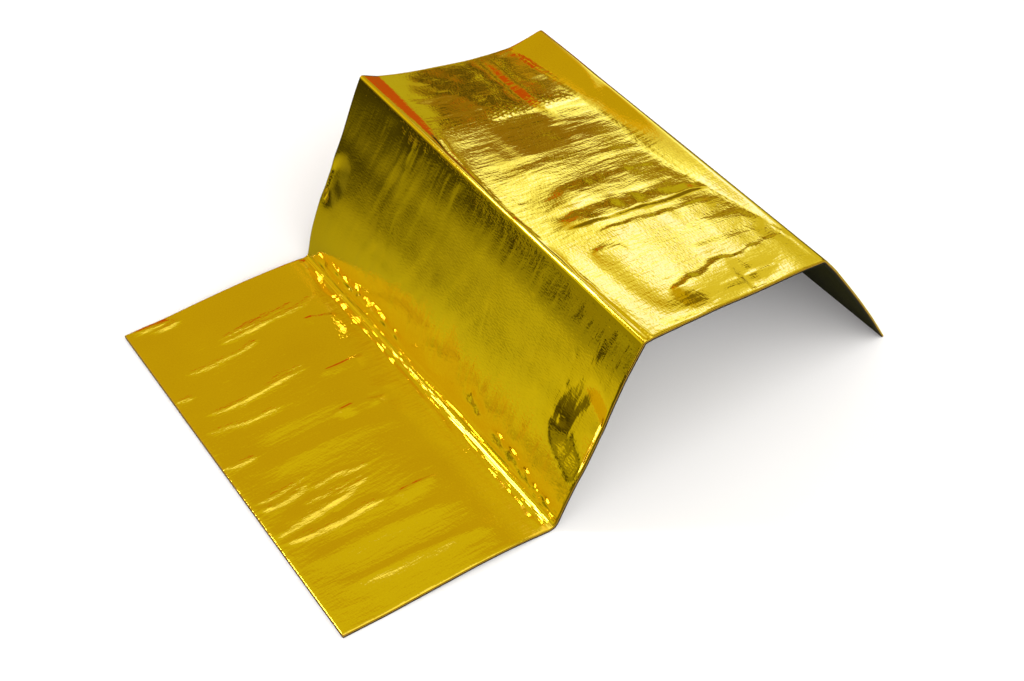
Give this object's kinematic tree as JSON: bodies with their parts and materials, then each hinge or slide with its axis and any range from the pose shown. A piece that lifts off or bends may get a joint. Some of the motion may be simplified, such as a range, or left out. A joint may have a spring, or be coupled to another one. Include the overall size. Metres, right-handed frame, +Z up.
{
  "type": "gold foil thermal blanket sheet",
  "caption": "Stiff gold foil sheet with a black back, folded into a flat panel, a climbing panel, a shallow sagging top and a steep panel that stands on its free edge.",
  "frame": {"origin": "on the surface it stands on, under the middle of its box", "axes": "+X across the folds from the flat panel to the standing one, +Y along the folds, +Z up"},
  "size_m": [0.444, 0.3192, 0.1433],
  "materials": {
    "gold_foil": "bright wrinkled gold film with a fine diagonal grain on a dull black backing"
  },
  "bodies": {
    "root": {"foil_sheet": "gold_foil"}
  },
  "joints": []
}
